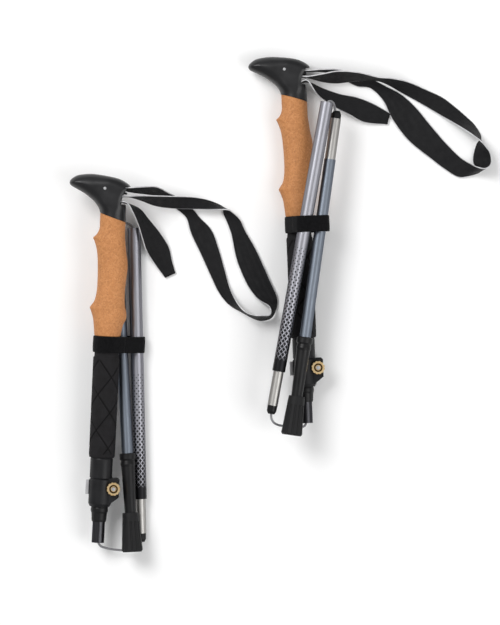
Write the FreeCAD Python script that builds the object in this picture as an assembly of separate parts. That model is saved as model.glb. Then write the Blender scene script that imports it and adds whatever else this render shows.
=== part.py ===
"""A pair of three-section folding trekking poles, folded and lying side by side on a flat surface.

Each section is modelled along its own axis: local -Y runs down the section from its top, local +X
points to the back of the grip, and local +Z points up from the surface. lay() then puts a section in
place. +Z is up, the poles lie along Y, and the origin is at the bottom centre of the whole pair.
"""
import FreeCAD, Part
import math
import os

from FreeCAD import Placement, Rotation, Vector as V

os.makedirs("parts", exist_ok=True)

# ---- driving dimensions, millimetres ----
UPPER_R, UPPER_BORE_R = 7.75, 6.7            # aluminium tube inside the grips
INNER_R, INNER_BORE_R = 6.5, 5.6             # telescoping tube
MIDDLE_R, MIDDLE_BORE_R = 6.75, 5.75         # patterned middle section
LOWER_R, LOWER_BORE_R = 6.0, 5.0             # tip section
FERRULE_R = 5.35                             # spigot at the end of the middle section
LOWER_FERRULE_R = 5.55                       # spigot at the top of the tip section
CORD_R = 1.2                                 # coated tension cable
FIT = 0.15                                   # gap between parts that slide in each other

CORK_END = -124.0                            # distances down the handle from the head's seam
BAND_END = -141.0
LIP_END = -145.0
FOAM_END = -251.0
SLEEVE_END = -272.0
CLAMP_END = -302.0
COLLAR_END = -318.0
UPPER_TOP, UPPER_END = 10.0, -300.0
INNER_TOP, INNER_END = -95.0, -340.0

MIDDLE_END = -284.0                          # distances down the middle section from its top
MIDDLE_FERRULE_END = -320.0
MIDDLE_CAP_END = -329.0
SPIGOT_DEPTH = 20.0                          # how far a spigot is glued into its own tube

LOWER_CAP_END = -8.0                         # distances down the tip section from its cap
LOWER_FERRULE_END = -51.0
LOWER_TUBE_END = -238.0
SLEEVE_TOP = -238.0
FOOT_TOP = -300.0
FOOT_END = -341.0

HEAD_HALF = 13.5                             # half the head's thickness
HEAD_ROUND = 4.5
SLOT_X, SLOT_Y = 3.0, (13.6, 31.7)           # the slot that the strap goes into
SEAM_SLOPE = -0.317                          # the head's lower seam falls towards the back
EAR_X, EAR_TOP, EAR_END = 19.5, -272.0, -293.0
BOLT_X, BOLT_Y = 14.2, -282.5
CAM_Z = -11.2
LEVER_IN, LEVER_OUT = 12.4, 15.4             # radii of the lever's arm, which wraps the clamp

STRAP_T = 1.5                                # webbing thickness
BAND_T = 1.0                                 # hook-and-loop tie
BAND_SLACK = 0.2                             # gap between the tie and the tubes under it

# Where each section lies: its top and its bottom on the section's axis
LEFT = {
    "handle": (V(-142.6, 99.2, 34.4), V(-158.4, -228.4, 20.4)),
    "middle": (V(-121.5, 88.6, 8.6), V(-114.0, -233.6, 6.8)),
    "lower": (V(-140.3, 90.2, 6.2), V(-122.8, -250.0, 21.6)),
}
RIGHT = {
    "handle": (V(46.2, 224.2, 14.6), V(58.8, -105.0, 15.6)),
    "middle": (V(80.0, 218.4, 42.5), V(21.9, -105.0, 39.0)),
    "lower": (V(90.4, 210.0, 31.2), V(42.7, -129.7, 41.4)),
}

# Wrist straps: pairs of points on the webbing's two edges, round the loop and down the tail
LEFT_LOOP = [
    ((-134.0, 128.8, 45.6), (-134.0, 128.8, 23.8)), ((-123.9, 128.3, 45.2), (-123.9, 128.3, 23.6)),
    ((-109.2, 130.9, 38), (-109.2, 130.9, 16)),
    ((-97.1, 131.1, 30), (-98.2, 129.5, 9)), ((-84.5, 128.1, 18), (-89.8, 123.9, 3)),
    ((-68.8, 119.2, 5), (-81.4, 112.9, 1.5)), ((-57.8, 107.6, 2.5), (-71.4, 104.0, 1.2)),
    ((-52.5, 99.8, 1.2), (-66.2, 97.7, 1.2)), ((-39.9, 86.6, 1.2), (-62.0, 82.4, 1.2)),
    ((-33.1, 68.8, 1.2), (-51.5, 60.4, 1.2)), ((-26.8, 46.7, 1.2), (-41.0, 37.3, 1.2)),
    ((-21.0, 25.7, 3), (-32.6, 20.5, 1.2)), ((-13.7, 11.0, 10), (-22.1, 8.4, 1.2)),
    ((-5.8, 1.6, 20), (-9.5, 1.1, 1.2)), ((3.2, -4.0, 23), (3.2, -4.5, 1)),
    ((12.6, -5.2, 23), (12.6, -6.3, 1)), ((21.0, -2.6, 20), (22.6, -3.7, 2)),
    ((18.9, 6.3, 12), (27.8, 6.8, 1.5)), ((7.9, 14.2, 3), (28.4, 17.3, 1.5)),
    ((-3.2, 28.9, 1.2), (22.1, 32.0, 1.2)), ((-12.6, 49.9, 1.2), (13.7, 50.9, 1.2)),
    ((-16.8, 65.6, 1.2), (5.2, 68.8, 1.2)), ((-19.9, 82.4, 1.5), (-4.7, 85.6, 2)),
    ((-24.2, 96.1, 2), (-11.6, 99.8, 4)), ((-31.5, 107.1, 3.5), (-21.0, 109.2, 6)),
    ((-45.1, 108.7, 5), (-39.9, 117.6, 9)), ((-63.0, 108.9, 8), (-62.0, 121.1, 15)),
    ((-84.0, 109.3, 11), (-83.0, 121.5, 24)), ((-99.8, 111.8, 15), (-99.8, 121.7, 32)),
    ((-113.4, 117.0, 19), (-113.4, 121.6, 40)), ((-125.0, 120.6, 23.4), (-125.0, 120.9, 45.2)),
    ((-134.4, 120.8, 23.6), (-134.4, 120.9, 45.4)),
]
LEFT_TAIL = [
    ((-136.0, 115.4, 44.6), (-136.0, 115.2, 23.6)), ((-127.6, 113.9, 44.2), (-127.6, 113.5, 23.4)),
    ((-121.8, 103.4, 35), (-115.0, 108.2, 22)),
    ((-116.6, 90.8, 25), (-106.1, 98.2, 18)), ((-112.4, 76.1, 19), (-94.5, 84.0, 9)),
    ((-108.7, 64.6, 12), (-85.0, 68.8, 2)), ((-100.8, 52.0, 3), (-81.4, 54.1, 1.5)),
    ((-89.2, 36.2, 1.2), (-77.9, 41.5, 1.2)),
]
RIGHT_LOOP = [
    ((52.0, 252.8, 25.4), (52.0, 252.8, 3.6)), ((62.0, 252.8, 25.4), (62.0, 252.8, 3.6)),
    ((74.4, 253.8, 25), (74.4, 252.6, 4)),
    ((87.9, 254.2, 20), (89.2, 250.1, 3)), ((101.5, 252.6, 10), (100.3, 243.3, 2)),
    ((118.8, 249.5, 3), (112.6, 237.1, 1.5)), ((143.5, 237.1, 1.2), (126.2, 235.3, 1.2)),
    ((159.6, 228.5, 1.2), (139.8, 221.7, 1.2)), ((174.9, 214.9, 1.2), (148.5, 203.2, 1.2)),
    ((189.2, 197.6, 1.2), (165.8, 180.3, 1.2)), ((204.4, 179.5, 1.2), (188.7, 161.8, 1.2)),
    ((220.1, 163.6, 1.2), (205.3, 149.4, 1.2)), ((233.7, 153.8, 8), (220.1, 142.0, 1.2)),
    ((242.3, 149.7, 18), (237.4, 144.5, 1.2)), ((249.7, 150.7, 22), (249.7, 148.8, 1)),
    ((252.2, 156.9, 18), (255.3, 159.3, 2)), ((243.6, 168.0, 6), (252.2, 161.8, 1.5)),
    ((228.7, 185.9, 1.5), (241.1, 179.1, 1.2)), ((204.4, 203.0, 1.2), (224.2, 207.0, 1.2)),
    ((188.0, 213.7, 1.2), (202.8, 225.4, 1.2)), ((174.4, 221.8, 1.5), (184.3, 234.0, 1.5)),
    ((158.3, 230.3, 2.5), (165.0, 240.5, 3)), ((139.4, 237.1, 5), (141.1, 244.3, 6)),
    ((116.4, 239.6, 7), (117.6, 248.5, 10)), ((96.6, 240.3, 8), (97.8, 252.0, 16)),
    ((76.8, 242.1, 8), (76.8, 248.9, 22)), ((60.8, 246.3, 4), (60.8, 246.5, 25.4)),
    ((52.0, 246.8, 3.6), (52.0, 246.9, 25.4)),
]
RIGHT_TAIL = [
    ((52.0, 240.2, 25.2), (52.0, 239.9, 4)), ((60.2, 242.1, 24.8), (60.2, 241.6, 5)),
    ((70.7, 227.2, 19), (74.4, 235.3, 16)), ((87.9, 214.9, 15), (92.9, 229.1, 13)),
    ((104.0, 206.9, 10), (112.6, 225.4, 9)), ((120.1, 199.2, 4), (129.9, 218.9, 5)),
    ((144.0, 197.2, 1.5), (147.2, 209.0, 2)),
]


# ---- helpers ----
def lay(top, bottom):
    """The placement that runs a section's local -Y from top to bottom, with local +Z upwards."""
    along = (top - bottom).normalize()
    side = along.cross(V(0, 0, 1)).normalize()
    return Placement(top, Rotation(side, along, side.cross(along), "YXZ"))


def turned(outline):
    """A solid of revolution about local Y, from (y, radius) points."""
    points = [V(0, outline[0][0], 0)] + [V(r, y, 0) for y, r in outline] + [V(0, outline[-1][0], 0)]
    face = Part.Face(Part.makePolygon(points + points[:1]))
    return face.revolve(V(0, 0, 0), V(0, 1, 0), 360)


def rod(y_top, y_end, radius, x=0.0, z=0.0):
    return Part.makeCylinder(radius, y_top - y_end, V(x, y_end, z), V(0, 1, 0))


def pipe(y_top, y_end, radius, bore):
    return rod(y_top, y_end, radius).cut(rod(y_top + 1, y_end - 1, bore))


def block(x0, x1, y0, y1, z0, z1):
    return Part.makeBox(x1 - x0, y1 - y0, z1 - z0, V(x0, y0, z0))


def prism(points, z0, z1):
    corners = [V(x, y, z0) for x, y in points]
    return Part.Face(Part.makePolygon(corners + corners[:1])).extrude(V(0, 0, z1 - z0))


def ribbon(pairs, thickness):
    """A closed strip of webbing through pairs of edge points."""
    rings = []
    for n, (a, b) in enumerate(pairs):
        before = pairs[max(n - 1, 0)]
        after = pairs[min(n + 1, len(pairs) - 1)]
        middle = [sum((V(*p) for p in pair), V()) * 0.5 for pair in (before, after)]
        normal = (middle[1] - middle[0]).cross(V(*b) - V(*a)).normalize() * (thickness / 2)
        rings.append([V(*a) + normal, V(*b) + normal, V(*b) - normal, V(*a) - normal])
    faces = []
    for one, two in zip(rings, rings[1:]):
        for k in range(4):
            m = (k + 1) % 4
            for trio in ((one[k], two[m], one[m]), (one[k], two[k], two[m])):
                faces.append(Part.Face(Part.makePolygon([*trio, trio[0]])))
    for a, b, c, d in (rings[0], rings[-1][::-1]):
        for trio in ((a, b, c), (a, c, d)):
            faces.append(Part.Face(Part.makePolygon([*trio, trio[0]])))
    shell = Part.Shell(faces)
    shell.sewShape()
    solid = Part.Solid(shell)
    return solid if solid.Volume > 0 else Part.Solid(shell.reversed())


def cable(points, radius, longest_reach=99.0):
    """A round cable along straight runs joined by tangent arcs."""
    edges, start = [], points[0]
    for a, b, c in zip(points, points[1:], points[2:]):
        into, out = (b - a).normalize(), (c - b).normalize()
        reach = min(0.45 * min((b - a).Length, (c - b).Length), longest_reach)
        one, two = b - into * reach, b + out * reach
        turn = into.getAngle(out)
        radius_here = reach / math.tan(turn / 2)
        bulge = b + (out - into).normalize() * (math.hypot(radius_here, reach) - radius_here)
        edges += [Part.LineSegment(start, one).toShape(), Part.Arc(one, bulge, two).toShape()]
        start = two
    edges.append(Part.LineSegment(start, points[-1]).toShape())
    wire = Part.Wire(edges)
    ring = Part.Wire(Part.makeCircle(radius, points[0], (points[1] - points[0]).normalize()))
    return wire.makePipeShell([ring], True, False)


def oval(y, front, back, depth):
    """A closed ring at y that reaches front towards -X, back towards +X and depth towards Z."""
    angles = [n * math.pi / 8 for n in range(16)]
    curve = Part.BSplineCurve()
    curve.interpolate([V((back if math.cos(a) > 0 else front) * math.cos(a), y, depth * math.sin(a))
                       for a in angles], PeriodicFlag=True)
    return Part.Wire(curve.toShape())


def hull(points):
    """The convex hull of flat points, anticlockwise."""
    points = sorted(points)

    def half(run):
        kept = []
        for p in run:
            while len(kept) > 1 and ((kept[-1][0] - kept[-2][0]) * (p[1] - kept[-2][1])
                                     - (kept[-1][1] - kept[-2][1]) * (p[0] - kept[-2][0])) <= 1e-6:
                kept.pop()
            kept.append(p)
        return kept[:-1]

    return half(points) + half(points[::-1])


# ---- grip ----
def above_seam():
    """The space above the slanted seam between the head and the cork."""
    reach, top, half_depth = 60.0, 90.0, 40.0
    corners = [(-reach, -reach * SEAM_SLOPE), (reach, reach * SEAM_SLOPE), (reach, top), (-reach, top)]
    return prism(corners, -half_depth, half_depth)


def head_blank():
    nose, crown, back = V(-46.5, 32.6, 0), V(-24.3, 44.0, 0), V(17.6, 32.4, 0)
    top = Part.BSplineCurve()
    top.interpolate([nose, V(-44.5, 37.4, 0), V(-37.7, 42.0, 0), crown, V(-10.9, 42.9, 0),
                     V(3.1, 40.6, 0), V(11.5, 37.0, 0), back])
    rear = Part.BSplineCurve()
    rear.interpolate([V(17.2, 27.0, 0), V(13.8, 22.5, 0), V(12.0, 16.0, 0), V(13.2, 9.8, 0), V(13.6, -9, 0)])
    front = Part.BSplineCurve()
    front.interpolate([V(-13.4, -9, 0), V(-13.8, 4.6, 0), V(-15.4, 9.2, 0), V(-20.0, 15.2, 0),
                       V(-29.8, 22.8, 0), V(-38.0, 27.2, 0), nose])
    edges = [top.toShape(), Part.LineSegment(back, V(17.2, 27.0, 0)).toShape(), rear.toShape(),
             Part.LineSegment(V(13.6, -9, 0), V(-13.4, -9, 0)).toShape(), front.toShape()]
    face = Part.Face(Part.Wire(edges))
    face.translate(V(0, 0, -HEAD_HALF))
    return face.extrude(V(0, 0, 2 * HEAD_HALF))


def rounded_head():
    """The head with its rims rounded, all but the rim at the seam."""
    blank = head_blank()
    rims = [e for e in blank.Edges if e.BoundBox.ZLength < 0.1 and e.BoundBox.YMax > 0]
    return blank.makeFillet(HEAD_ROUND, rims)


def make_grip(place, others):
    """The pieces on the grip, as {name: local shape}; the tie goes round the other sections too."""
    pieces = {}
    head = rounded_head().common(above_seam())
    head = head.cut(rod(UPPER_TOP + 0.1, -20, UPPER_R + 0.02))
    head = head.cut(block(SLOT_X, 40, *SLOT_Y, -12.2, 12.2))
    head = head.cut(Part.makeCylinder(1.55, 40, V(-9.2, 29.9, -20)))
    pieces["head"] = head
    wedge = prism([(SLOT_X + 0.3, 23.7), (13.5, 24.2), (13.5, 26.1), (SLOT_X + 0.3, 26.6)], -10, 10)
    pieces["strap_wedge"] = wedge
    pieces["strap_pin"] = Part.makeCylinder(1.5, 2 * HEAD_HALF + 0.4, V(-9.2, 29.9, -HEAD_HALF - 0.2))
    pieces["cork_grip"] = make_cork()
    pieces["foam_grip"] = turned([(BAND_END + 17, 12.6), (LIP_END, 12.9), (LIP_END - 2, 13.8),
                                  (FOAM_END + 3, 13.6), (FOAM_END, 12.6)]).cut(rod(0, -260, UPPER_R + 0.02))
    pieces["band"] = make_band(place, others)
    pieces["upper_tube"] = pipe(UPPER_TOP, UPPER_END, UPPER_R, UPPER_BORE_R)
    return pieces


def make_cork():
    """The shaped cork: (y, front, back, half depth) at each station, with its finger ridges."""
    stations = [
        (8, 13.4, 13.4, 13.2), (-13, 13.5, 13.4, 13.2), (-19, 16.5, 13.5, 13.6),
        (-22, 19.6, 13.7, 13.8), (-25.5, 18.2, 14.2, 14.0), (-35, 15.2, 15.4, 14.1),
        (-50, 13.6, 17.7, 14.2), (-73, 13.1, 16.2, 14.0), (-86, 14.8, 16.2, 14.1),
        (-92, 18.0, 16.8, 14.2), (-95, 19.8, 17.4, 14.2), (-98, 18.6, 18.4, 14.2),
        (-105, 16.2, 18.6, 14.2), (-112, 15.0, 15.6, 14.0), (CORK_END, 13.7, 13.5, 13.5),
    ]
    rings = [oval(y, front, back, depth) for y, front, back, depth in stations]
    cork = Part.makeLoft(rings, True, True)
    cork = cork.cut(above_seam())
    cork = cork.cut(rod(30, -130, UPPER_R + 0.02))
    return cork.cut(turned([(BAND_END + 17.02, 12.62), (-180, 12.62)]))


def make_band(place, others):
    """The tie round the handle and the folded sections, at right angles to the handle."""
    circles = [(0, 0, 13.7)]
    inverse = place.inverse()
    for (top, bottom), radius in others:
        a, b = inverse.multVec(top), inverse.multVec(bottom)
        for y in (CORK_END, BAND_END):
            here = a + (b - a) * ((y - a.y) / (b.y - a.y))
            circles.append((here.x, here.z, radius + BAND_SLACK))
    loops = []
    for grow in (BAND_T, 0):
        ring = [(x + (r + grow) * math.cos(n * math.pi / 18), z + (r + grow) * math.sin(n * math.pi / 18))
                for x, z, r in circles for n in range(36)]
        corners = [V(x, BAND_END, z) for x, z in hull(ring)]
        loops.append(Part.Face(Part.makePolygon(corners + corners[:1])).extrude(V(0, CORK_END - BAND_END, 0)))
    return loops[0].cut(loops[1])


# ---- lever lock ----
def make_lock():
    pieces = {}
    sleeve = turned([(FOAM_END, 11.2), (FOAM_END - 1.5, 11.7), (SLEEVE_END, 11.7),
                     (SLEEVE_END, 11.2), (SLEEVE_END - 0.8, 10.8), (SLEEVE_END - 2, 11.9),
                     (CLAMP_END + 3, 11.9), (CLAMP_END, 10.4)])
    ear = prism([(0, EAR_TOP), (EAR_X - 2, EAR_TOP), (EAR_X, EAR_TOP - 2), (EAR_X, EAR_END + 1),
                 (8, CLAMP_END + 1), (0, CLAMP_END + 1)], -7.4, 7.4)
    body = sleeve.fuse(ear)
    body = body.cut(rod(0, UPPER_END, UPPER_R + 0.02)).cut(rod(-200, -400, INNER_R + FIT))
    body = body.cut(block(INNER_R - 1, 40, EAR_END - 12, EAR_TOP - 0.1, -0.7, 0.7))
    body = body.cut(Part.makeCylinder(2.1, 60, V(BOLT_X, BOLT_Y, -30)))
    body = body.cut(Part.makeCylinder(7.3, 10, V(BOLT_X, BOLT_Y, 7.45)))
    saddle = rod(BOLT_Y + 7.6, BOLT_Y - 7.6, 5.4, BOLT_X, CAM_Z)
    pieces["lock_body"] = body.cut(saddle)
    collar = turned([(CLAMP_END - 0.1, 8.6), (CLAMP_END - 2, 9.0), (CLAMP_END - 5, 9.0),
                     (CLAMP_END - 7, 8.2), (COLLAR_END + 2, 7.8), (COLLAR_END, 7.3)])
    pieces["lock_collar"] = collar.cut(rod(-200, -400, INNER_R + FIT))
    bolt = Part.makeCylinder(2.0, 24.5, V(BOLT_X, BOLT_Y, CAM_Z))
    eye = Part.makeCylinder(3.0, 5, V(BOLT_X, BOLT_Y + 2.5, CAM_Z), V(0, -1, 0))
    pieces["lock_bolt"] = bolt.fuse(eye).cut(rod(0, -400, 1.62, BOLT_X, CAM_Z))
    nut = Part.makeCylinder(6.9, 4.6, V(BOLT_X, BOLT_Y, 7.5))
    notch_count, notch_ring = 12, 7.1
    for n in range(notch_count):
        angle = 2 * math.pi * n / notch_count
        x, y = BOLT_X + notch_ring * math.cos(angle), BOLT_Y + notch_ring * math.sin(angle)
        nut = nut.cut(Part.makeCylinder(0.8, 6, V(x, y, 7)))
    nut = nut.cut(Part.makeCylinder(2.12, 8, V(BOLT_X, BOLT_Y, 7)))
    pieces["lock_nut"] = nut.cut(Part.makeCylinder(4.0, 2, V(BOLT_X, BOLT_Y, 11.2)))
    pieces["cam_pin"] = rod(BOLT_Y + 7.3, BOLT_Y - 7.3, 1.5, BOLT_X, CAM_Z)
    pieces["lock_lever"] = make_lever()
    return pieces


def make_lever():
    """The cam and the arm that wraps under the clamp to a tip at the front."""
    width = 7.3
    cam = rod(BOLT_Y + width, BOLT_Y - width, 4.9, BOLT_X, CAM_Z)
    ring = rod(BOLT_Y + width, BOLT_Y - width, LEVER_OUT).cut(rod(0, -400, LEVER_IN))
    corners = [V(0, -400, 0), V(30, -400, -27), V(30, -400, -60), V(-60, -400, -60), V(-60, -400, 9)]
    sector = Part.Face(Part.makePolygon(corners + corners[:1])).extrude(V(0, 400, 0))
    lever = ring.common(sector).fuse(cam)
    lever = lever.cut(rod(0, -400, 1.62, BOLT_X, CAM_Z))
    lever = lever.cut(block(BOLT_X - 3.4, BOLT_X + 3.4, BOLT_Y - 2.8, BOLT_Y + 2.8, CAM_Z - 3.4, CAM_Z + 9))
    return lever.cut(block(BOLT_X - 2.4, 40, BOLT_Y - 2.8, BOLT_Y + 2.8, CAM_Z - 9, CAM_Z + 9))


# ---- sections ----
def make_inner():
    pieces = {"inner_tube": pipe(INNER_TOP, INNER_END, INNER_R, INNER_BORE_R)}
    guide = turned([(INNER_TOP + 8, UPPER_BORE_R - 0.35), (INNER_TOP + 0.05, UPPER_BORE_R - 0.35),
                    (INNER_TOP + 0.05, INNER_BORE_R - 0.02), (INNER_TOP - 12, INNER_BORE_R - 0.02)])
    pieces["inner_guide"] = guide
    anchor = rod(INNER_END + 70, INNER_END + 58, INNER_BORE_R - 0.02).cut(rod(0, -400, CORD_R + 0.02))
    pieces["cord_anchor"] = anchor
    return pieces


def make_middle():
    tube = pipe(0, MIDDLE_END, MIDDLE_R, MIDDLE_BORE_R)
    spigot = rod(MIDDLE_END, MIDDLE_FERRULE_END, FERRULE_R)
    root = rod(MIDDLE_END + SPIGOT_DEPTH, MIDDLE_END, MIDDLE_BORE_R - 0.02)
    bore = rod(0, -400, 4.2)
    cap = turned([(MIDDLE_FERRULE_END + 6, 4.18), (MIDDLE_FERRULE_END, 4.18), (MIDDLE_FERRULE_END, 5.2),
                  (MIDDLE_CAP_END + 3, 5.0), (MIDDLE_CAP_END, 3.4)]).cut(rod(0, -400, CORD_R + 0.25))
    return {"middle_tube": tube, "middle_ferrule": root.fuse(spigot).cut(bore), "middle_cap": cap}


def make_lower():
    pieces = {}
    cap = turned([(0, 3.2), (-3, 5.0), (LOWER_CAP_END, 5.3), (LOWER_CAP_END, 4.18),
                  (LOWER_CAP_END - 6, 4.18)])
    pieces["lower_cap"] = cap.cut(rod(10, -400, CORD_R + 0.25))
    ferrule = rod(LOWER_CAP_END, LOWER_FERRULE_END, LOWER_FERRULE_R)
    root = rod(LOWER_FERRULE_END, LOWER_FERRULE_END - SPIGOT_DEPTH, LOWER_BORE_R - 0.02)
    pieces["lower_ferrule"] = ferrule.fuse(root).cut(rod(10, -400, 4.2))
    pieces["lower_tube"] = pipe(LOWER_FERRULE_END, LOWER_TUBE_END - 14, LOWER_R, LOWER_BORE_R)
    sleeve = turned([(SLEEVE_TOP, 7.6), (SLEEVE_TOP - 1, 8.4), (SLEEVE_TOP - 6, 8.4),
                     (SLEEVE_TOP - 7.5, 7.3), (SLEEVE_TOP - 11.5, 7.9), (SLEEVE_TOP - 14, 7.2),
                     (FOOT_TOP, 5.9), (FOOT_TOP - 22, 5.0)])
    sleeve = sleeve.cut(rod(0, LOWER_TUBE_END - 14, LOWER_R + 0.02))
    pieces["tip_sleeve"] = sleeve.cut(rod(-300, -400, 2.52))
    pieces["carbide_tip"] = turned([(FOOT_TOP - 6, 2.5), (FOOT_TOP - 28, 2.5), (FOOT_TOP - 31, 1.8)])
    return pieces


def make_foot():
    """The rubber foot: a fluted, flaring cup pulled over the carbide tip."""
    foot = turned([(FOOT_TOP, 8.3), (FOOT_TOP - 4, 8.7), (FOOT_END + 6, 10.7),
                   (FOOT_END + 2, 11.1), (FOOT_END, 9.6)])
    flute_count = 12
    for n in range(flute_count):
        angle = 2 * math.pi * n / flute_count
        top = V(9.2 * math.cos(angle), FOOT_TOP - 9, 9.2 * math.sin(angle))
        end = V(11.7 * math.cos(angle), FOOT_END - 1, 11.7 * math.sin(angle))
        foot = foot.cut(Part.makeCylinder(1.1, (end - top).Length, top, end - top))
    hole = turned([(FOOT_TOP + 1, 6.1), (FOOT_TOP, 6.1), (FOOT_TOP - 22.3, 5.2), (FOOT_TOP - 32, 3.2)])
    return {"rubber_foot": foot.cut(hole)}


# ---- tension cable, in place ----
def make_cords(handle, middle, lower, dip):
    """The cable from the handle's end round to the middle section, and over the top to the tip section."""
    low_from, low_to = handle.multVec(V(0, INNER_END, 0)), middle.multVec(V(0, MIDDLE_CAP_END, 0))
    down_h, down_m = handle.Rotation.multVec(V(0, -1, 0)), middle.Rotation.multVec(V(0, -1, 0))
    across = low_to - low_from
    points = [handle.multVec(V(0, INNER_END + 56, 0)), low_from + down_h * 5,
              low_from + down_h * 11 + across * 0.22 + V(0, 0, dip * 0.5),
              low_from + down_h * 13 + across * 0.52 + V(0, 0, dip),
              low_to + down_m * 12 - across * 0.16 + V(0, 0, dip * 0.4), low_to + down_m * 5,
              middle.multVec(V(0, MIDDLE_END + 40, 0))]
    top_from, top_to = middle.multVec(V(0, 0, 0)), lower.multVec(V(0, 0, 0))
    up_m, up_l = middle.Rotation.multVec(V(0, 1, 0)), lower.Rotation.multVec(V(0, 1, 0))
    loop = [top_from - up_m * 6, top_from + up_m * 4, top_to + up_l * 5, lower.multVec(V(0, -30, 0))]
    run = rod(-6.4, MIDDLE_END + 40.4, CORD_R)
    return {"cord_lower_loop": cable(points, CORD_R), "cord_upper_loop": cable(loop, CORD_R, 4.2),
            "cord_run": placed(run, middle)}


def placed(shape, placement):
    copy = shape.copy()
    copy.Placement = placement.multiply(copy.Placement)
    return copy


def make_pole(side, lies, strap, tail, dip):
    handle, middle, lower = (lay(*lies[name]) for name in ("handle", "middle", "lower"))
    others = [(lies["middle"], MIDDLE_R), (lies["lower"], LOWER_R)]
    pole = {}
    for pieces, placement in ((make_grip(handle, others), handle), (make_lock(), handle),
                              (make_inner(), handle), (make_middle(), middle),
                              (make_lower(), lower), (make_foot(), lower)):
        for name, shape in pieces.items():
            pole[name] = placed(shape, placement)
    pole.update(make_cords(handle, middle, lower, dip))
    loop, end = ribbon(strap, STRAP_T), ribbon(tail, STRAP_T)
    pole["wrist_strap"] = Part.Compound([loop, end])
    return {f"{side}_{name}": shape for name, shape in pole.items()}


def build():
    """Every piece of the pair as {node: shape}, and the shift that centres the pair on its base."""
    pieces = make_pole("left", LEFT, LEFT_LOOP, LEFT_TAIL, -6.0)
    pieces.update(make_pole("right", RIGHT, RIGHT_LOOP, RIGHT_TAIL, -5.0))
    box = Part.Compound(list(pieces.values())).BoundBox
    shift = V(-box.Center.x, -box.Center.y, -box.ZMin)
    return {name: placed(shape, Placement(shift, Rotation())) for name, shape in pieces.items()}, shift


if __name__ == "__main__":
    nodes, _ = build()
    for name, shape in sorted(nodes.items()):
        shape.exportStep(f"parts/{name}.step")
        print(name, shape.isValid(), len(shape.Solids), round(shape.Volume, 1))
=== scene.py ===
"""Looks for a pair of folding trekking poles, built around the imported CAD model.

Lengths are millimetres: in a section's own frame (local -Y runs down the section, +X to the back of
the grip, +Z up), or in the pair's frame before SHIFT. lay() and at() turn them into metres.
"""
import math

import bpy
import numpy as np
from mathutils import Matrix, Vector, noise


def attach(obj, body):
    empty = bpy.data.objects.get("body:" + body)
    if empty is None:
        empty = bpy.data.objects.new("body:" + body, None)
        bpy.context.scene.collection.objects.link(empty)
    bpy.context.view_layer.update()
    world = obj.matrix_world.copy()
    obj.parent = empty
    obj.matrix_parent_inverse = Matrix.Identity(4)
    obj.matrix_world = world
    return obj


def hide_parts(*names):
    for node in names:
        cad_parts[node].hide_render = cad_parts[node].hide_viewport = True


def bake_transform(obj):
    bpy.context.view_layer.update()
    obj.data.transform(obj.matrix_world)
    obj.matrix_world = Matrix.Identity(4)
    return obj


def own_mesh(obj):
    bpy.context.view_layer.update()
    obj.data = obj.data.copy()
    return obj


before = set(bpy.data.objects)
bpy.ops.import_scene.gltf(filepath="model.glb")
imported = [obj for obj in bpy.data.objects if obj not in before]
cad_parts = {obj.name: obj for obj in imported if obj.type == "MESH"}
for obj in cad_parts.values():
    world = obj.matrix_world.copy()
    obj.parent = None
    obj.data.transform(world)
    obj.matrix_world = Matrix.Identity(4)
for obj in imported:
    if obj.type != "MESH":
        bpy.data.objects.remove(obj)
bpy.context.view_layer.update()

MM = 0.001
SHIFT = Vector((-33.5508, -6.2538, 0.7028))

# ---- dimensions shared with the CAD source ----
UPPER_R = 7.75
MIDDLE_R = 6.75
LOWER_R = 6.0
CORD_R = 1.2
CORK_END, BAND_END, LIP_END, FOAM_END = -124.0, -141.0, -145.0, -251.0
INNER_END, MIDDLE_END, MIDDLE_CAP_END = -340.0, -284.0, -329.0
SEAM_SLOPE = -0.317
BAND_T, BAND_SLACK = 1.0, 0.2

# Where each section's axis runs, from its top to its bottom
LIES = {
    "left": {
        "handle": ((-142.6, 99.2, 34.4), (-158.4, -228.4, 20.4)),
        "middle": ((-121.5, 88.6, 8.6), (-114.0, -233.6, 6.8)),
        "lower": ((-140.3, 90.2, 6.2), (-122.8, -250.0, 21.6)),
    },
    "right": {
        "handle": ((46.2, 224.2, 14.6), (58.8, -105.0, 15.6)),
        "middle": ((80.0, 218.4, 42.5), (21.9, -105.0, 39.0)),
        "lower": ((90.4, 210.0, 31.2), (42.7, -129.7, 41.4)),
    },
}

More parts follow.
